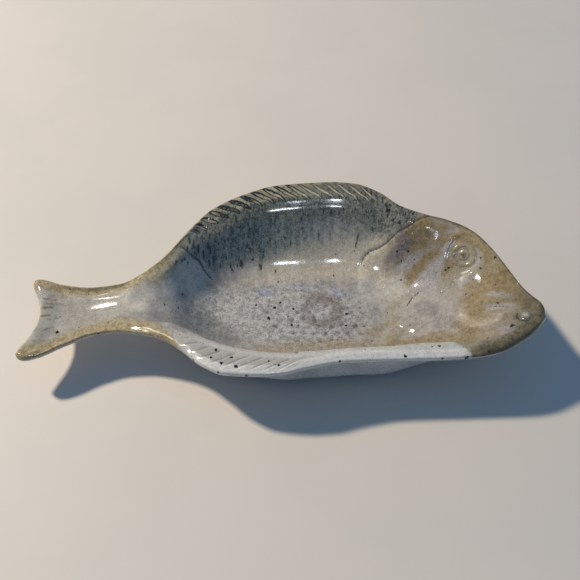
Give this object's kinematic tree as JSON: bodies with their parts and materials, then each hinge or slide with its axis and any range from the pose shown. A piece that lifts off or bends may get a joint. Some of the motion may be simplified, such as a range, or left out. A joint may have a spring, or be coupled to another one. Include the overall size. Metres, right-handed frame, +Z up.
{
  "type": "fish shaped dish",
  "caption": "Shallow glazed stoneware serving dish in the shape of a fish, with a forked tail, flared fins, a pressed-on eye and nostril, and an unglazed foot ring.",
  "frame": {"origin": "on the table, at the middle of the dish's length and width", "axes": "+X along the fish from the tail to the snout, +Y towards the dorsal fin, +Z up"},
  "size_m": [0.3202, 0.1522, 0.0492],
  "materials": {
    "bowl_glaze": "gloss glaze, blue-grey wall, lavender-grey floor and ochre head, with iron specks",
    "tail_glaze": "gloss lavender-grey glaze that breaks ochre at the edges",
    "dorsal_fin_glaze": "gloss khaki glaze, dark in the carved rays",
    "anal_fin_glaze": "gloss grey-white glaze with iron specks",
    "eye_glaze": "gloss tan and lavender glaze",
    "nostril_glaze": "gloss pale grey glaze",
    "bare_clay": "unglazed, dry buff stoneware"
  },
  "bodies": {
    "root": {"bowl": "bowl_glaze", "tail": "tail_glaze", "dorsal_fin": "dorsal_fin_glaze", "anal_fin": "anal_fin_glaze", "eye_ring": "eye_glaze", "eye_button": "eye_glaze", "nostril_button": "nostril_glaze", "foot_ring": "bare_clay"}
  },
  "joints": []
}
